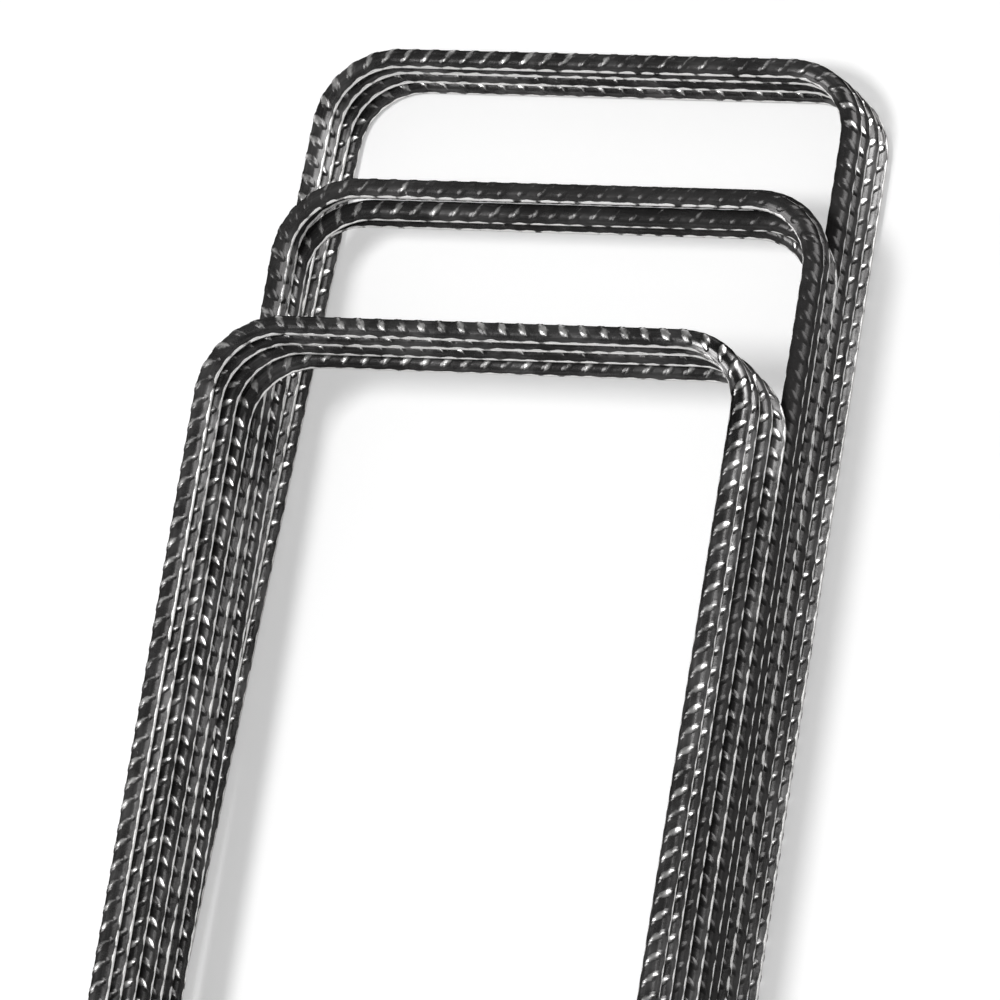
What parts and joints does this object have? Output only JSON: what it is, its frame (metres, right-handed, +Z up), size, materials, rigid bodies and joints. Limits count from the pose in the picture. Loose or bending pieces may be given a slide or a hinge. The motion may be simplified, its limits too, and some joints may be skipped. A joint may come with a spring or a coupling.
{
  "type": "bundle of rebar stirrups",
  "caption": "Closed rectangular stirrups bent from ribbed reinforcing bar, lying flat in shingled stacks, for tying round the main bars of a concrete beam or column.",
  "frame": {"origin": "middle of the pile's plan, on the floor it lies on", "axes": "+Z up through the flat stack; +Y along the legs, from the front group's open end of the picture towards the back group; +X along the short sides"},
  "size_m": [0.2524, 0.6988, 0.101],
  "materials": {
    "rebar_steel": "dark mill scale with worn rib crests"
  },
  "bodies": {
    "root": {"back_stirrup_1": "rebar_steel", "back_stirrup_2": "rebar_steel", "back_stirrup_3": "rebar_steel", "back_stirrup_4": "rebar_steel", "middle_stirrup_1": "rebar_steel", "middle_stirrup_2": "rebar_steel", "middle_stirrup_3": "rebar_steel", "middle_stirrup_4": "rebar_steel", "front_stirrup_1": "rebar_steel", "front_stirrup_2": "rebar_steel", "front_stirrup_3": "rebar_steel", "front_stirrup_4": "rebar_steel"}
  },
  "joints": []
}
